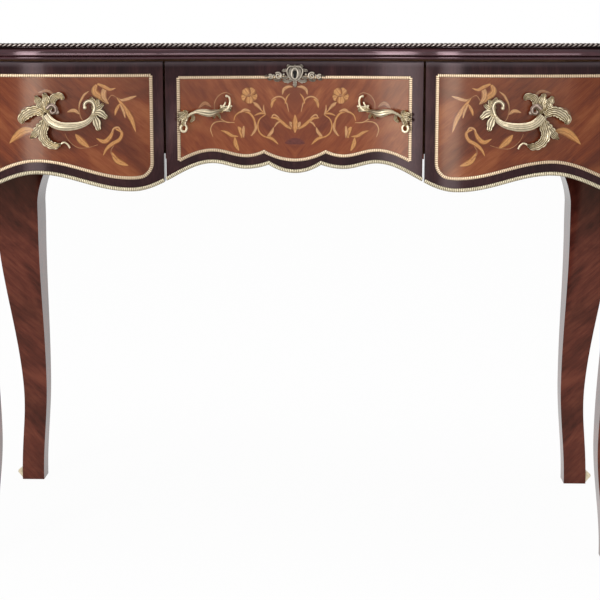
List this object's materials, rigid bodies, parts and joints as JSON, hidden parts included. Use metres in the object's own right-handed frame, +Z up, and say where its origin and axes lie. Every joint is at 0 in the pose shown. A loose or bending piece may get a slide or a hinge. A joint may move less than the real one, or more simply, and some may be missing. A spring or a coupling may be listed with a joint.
{
  "type": "kidney-shaped writing desk",
  "caption": "Kidney-shaped writing desk with cabriole legs, serpentine aproned drawers, floral marquetry, a rope-edged top and rococo brass mounts.",
  "frame": {"origin": "on the floor, under the middle of the desk's overall box", "axes": "+X to the sitter's right, who faces the drawers; +Y from the drawers to the back; +Z up"},
  "size_m": [1.1494, 0.6793, 0.78],
  "materials": {
    "top_veneer": "polished veneer",
    "leather": "smooth",
    "ebonised_moulding": "ebonised and polished",
    "gilt_bronze": "aged gilt",
    "carcass_wood": "plain",
    "case_veneer": "polished veneer",
    "leg_veneer": "polished veneer",
    "marquetry": "polished marquetry",
    "drawer_wood": "plain",
    "milled_brass": "milled",
    "lock_brass": "satin",
    "steel_screws": "turned"
  },
  "bodies": {
    "desk": {"top_board": "top_veneer", "writing_leather": "leather", "top_moulding": "ebonised_moulding", "rope_band": "gilt_bronze", "front_top_rail": "carcass_wood", "front_lower_rail": "carcass_wood", "left_divider": "carcass_wood", "right_divider": "carcass_wood", "left_end_panel": "case_veneer", "right_end_panel": "case_veneer", "back_panel": "case_veneer", "drawer_runners": "carcass_wood", "drawer_kickers": "carcass_wood", "top_screws": "steel_screws", "front_left_leg": "leg_veneer", "front_right_leg": "leg_veneer", "rear_left_leg": "leg_veneer", "rear_right_leg": "leg_veneer", "front_left_sabot": "gilt_bronze", "front_right_sabot": "gilt_bronze", "rear_left_sabot": "gilt_bronze", "rear_right_sabot": "gilt_bronze", "front_left_knee_mount": "gilt_bronze", "front_right_knee_mount": "gilt_bronze", "rear_left_knee_mount": "gilt_bronze", "rear_right_knee_mount": "gilt_bronze", "end_edge_bands": "milled_brass", "back_edge_band": "milled_brass"},
    "left_drawer": {"left_drawer_front": "marquetry", "left_drawer_sides": "drawer_wood", "left_drawer_back": "drawer_wood", "left_drawer_bottom": "drawer_wood", "left_stringing": "milled_brass", "left_edge_band": "milled_brass", "left_handle": "gilt_bronze", "left_handle_bolts": "lock_brass"},
    "centre_drawer": {"centre_drawer_front": "marquetry", "centre_drawer_sides": "drawer_wood", "centre_drawer_back": "drawer_wood", "centre_drawer_bottom": "drawer_wood", "centre_stringing": "milled_brass", "centre_edge_band": "milled_brass", "centre_left_handle": "gilt_bronze", "centre_right_handle": "gilt_bronze", "centre_handle_bolts": "lock_brass", "escutcheon": "gilt_bronze", "lock_case": "lock_brass", "lock_screws": "steel_screws"},
    "right_drawer": {"right_drawer_front": "marquetry", "right_drawer_sides": "drawer_wood", "right_drawer_back": "drawer_wood", "right_drawer_bottom": "drawer_wood", "right_stringing": "milled_brass", "right_edge_band": "milled_brass", "right_handle": "gilt_bronze", "right_handle_bolts": "lock_brass"},
    "bolt": {"lock_bolt": "lock_brass"}
  },
  "joints": [
    {"name": "left_drawer_slide", "type": "slide", "parent": "desk", "child": "left_drawer", "axis": [0, -1, 0], "range_m": [0, 0.28]},
    {"name": "centre_drawer_slide", "type": "slide", "parent": "desk", "child": "centre_drawer", "axis": [0, -1, 0], "range_m": [0, 0.28]},
    {"name": "right_drawer_slide", "type": "slide", "parent": "desk", "child": "right_drawer", "axis": [0, -1, 0], "range_m": [0, 0.28]},
    {"name": "lock_bolt_slide", "type": "slide", "parent": "centre_drawer", "child": "bolt", "axis": [0, 0, 1], "range_m": [0, 0.006]}
  ]
}
